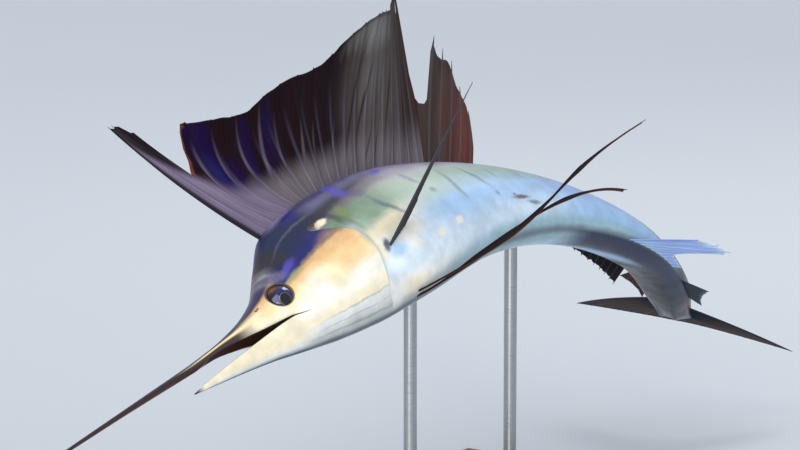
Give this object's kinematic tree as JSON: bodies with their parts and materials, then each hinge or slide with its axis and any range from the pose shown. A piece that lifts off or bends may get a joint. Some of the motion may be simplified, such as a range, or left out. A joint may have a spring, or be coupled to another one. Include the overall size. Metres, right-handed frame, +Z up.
{
  "type": "leaping sailfish display model",
  "caption": "Life-size leaping sailfish with spread sail fin, long bill and open jaw, body curled to one side, held on two rods over a flat rectangular display base.",
  "frame": {"origin": "centre of the stand base's underside, on the floor", "axes": "+Z up, away from the floor; the fish's bill points towards -X and -Y, and its tail towards +X and +Y"},
  "size_m": [1.5252, 1.8846, 1.0015],
  "materials": {
    "bill_skin": "satin dark brown",
    "head_skin": "gloss, navy crown over cream cheek",
    "jaw_skin": "gloss cream",
    "eye": "wet gloss indigo black",
    "body_skin": "gloss silver blue",
    "tail_skin": "gloss dark navy",
    "sail": "satin brown black with indigo patches",
    "anal_fin": "satin pale violet blue",
    "small_fin": "satin brown black",
    "caudal_fin": "satin dark navy brown",
    "stand_wood": "oiled dark walnut",
    "stand_steel": "brushed"
  },
  "bodies": {
    "root": {"bill": "bill_skin", "head": "head_skin", "lower_jaw": "jaw_skin", "eye_left": "eye", "eye_right": "eye", "body_front": "body_skin", "body_middle": "body_skin", "body_rear": "body_skin", "tail_stock": "tail_skin", "sail_front": "sail", "sail_main": "sail", "sail_rear": "sail", "sail_low": "sail", "first_anal_fin": "anal_fin", "second_dorsal_fin": "small_fin", "second_anal_fin": "small_fin", "pectoral_fin_left": "small_fin", "pectoral_fin_right": "small_fin", "pelvic_fin_left": "small_fin", "pelvic_fin_right": "small_fin", "caudal_fin_upper": "caudal_fin", "caudal_fin_lower": "caudal_fin", "stand_base": "stand_wood", "stand_rod_front": "stand_steel", "stand_rod_rear": "stand_steel"}
  },
  "joints": []
}
